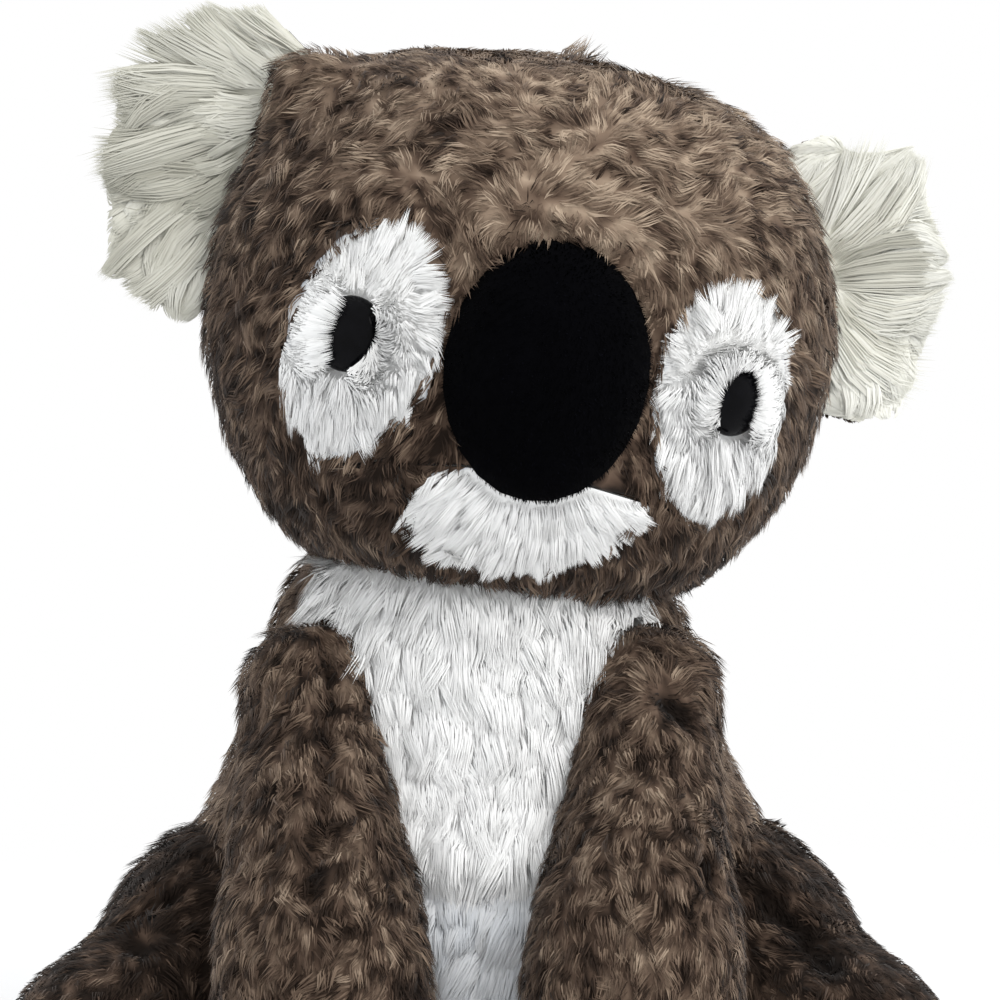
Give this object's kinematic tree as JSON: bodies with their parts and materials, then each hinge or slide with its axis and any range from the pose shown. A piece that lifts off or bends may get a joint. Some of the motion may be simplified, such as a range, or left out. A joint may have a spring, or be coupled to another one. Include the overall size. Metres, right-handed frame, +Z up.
{
  "type": "plush koala",
  "caption": "Seated plush koala with heathered brown fur, white belly, eye patches and muzzle, fluffy white ears, a large black nose and hanging arms.",
  "frame": {"origin": "middle of the body's flat seat, on the surface that it sits on", "axes": "+Z up, -Y the way the toy faces, +X to the right of someone who looks at its face"},
  "size_m": [0.2316, 0.1536, 0.2793],
  "materials": {
    "brown_plush": "matte, heathered long pile",
    "white_plush": "matte, fluffy pile",
    "cream_pile": "matte, very long combed pile",
    "black_velour": "matte, short dense pile",
    "polyester_fill": "matte, loose fibre",
    "pouch_cloth": "matte, plain weave",
    "eye_plastic": "polished",
    "washer_plastic": "natural, unpolished"
  },
  "bodies": {
    "torso": {"body_skin": "brown_plush", "belly_panel": "white_plush", "body_stuffing": "polyester_fill", "bean_pouch": "pouch_cloth"},
    "neck": {"neck_stuffing": "polyester_fill"},
    "head": {"head_skin": "brown_plush", "head_stuffing": "polyester_fill", "muzzle_patch": "white_plush", "nose_cover": "black_velour", "nose_stuffing": "polyester_fill", "eye_patch_left": "white_plush", "eye_patch_right": "white_plush", "eye_left": "eye_plastic", "eye_right": "eye_plastic", "eye_washer_left": "washer_plastic", "eye_washer_right": "washer_plastic", "ear_front_left": "cream_pile", "ear_front_right": "cream_pile", "ear_back_left": "brown_plush", "ear_back_right": "brown_plush"},
    "arm_left": {"arm_skin_left": "brown_plush", "arm_stuffing_left": "polyester_fill"},
    "arm_right": {"arm_skin_right": "brown_plush", "arm_stuffing_right": "polyester_fill"},
    "leg_left": {"leg_skin_left": "brown_plush", "leg_stuffing_left": "polyester_fill", "foot_pad_left": "black_velour"},
    "leg_right": {"leg_skin_right": "brown_plush", "leg_stuffing_right": "polyester_fill", "foot_pad_right": "black_velour"}
  },
  "joints": [
    {"name": "neck_tilt", "type": "hinge", "parent": "torso", "child": "neck", "pos_m": [0, 0, 0.112], "axis": [0, 1, 0], "range_deg": [-22, 3], "stiffness_Nm_per_rad": 1},
    {"name": "neck_nod", "type": "hinge", "parent": "neck", "child": "head", "pos_m": [0, 0, 0.112], "axis": [1, 0, 0], "range_deg": [-10, 8], "stiffness_Nm_per_rad": 1},
    {"name": "shoulder_left", "type": "hinge", "parent": "torso", "child": "arm_left", "pos_m": [-0.04, -0.03, 0.116], "axis": [-1, 0, 0], "range_deg": [0, 33]},
    {"name": "shoulder_right", "type": "hinge", "parent": "torso", "child": "arm_right", "pos_m": [0.04, -0.03, 0.116], "axis": [-1, 0, 0], "range_deg": [0, 33]},
    {"name": "hip_left", "type": "hinge", "parent": "torso", "child": "leg_left", "pos_m": [-0.06, -0.008, 0.047], "axis": [-0.7549, 0.6559, 0], "range_deg": [0, 30]},
    {"name": "hip_right", "type": "hinge", "parent": "torso", "child": "leg_right", "pos_m": [0.06, -0.008, 0.047], "axis": [-0.7772, -0.6292, 0], "range_deg": [0, 30]}
  ]
}
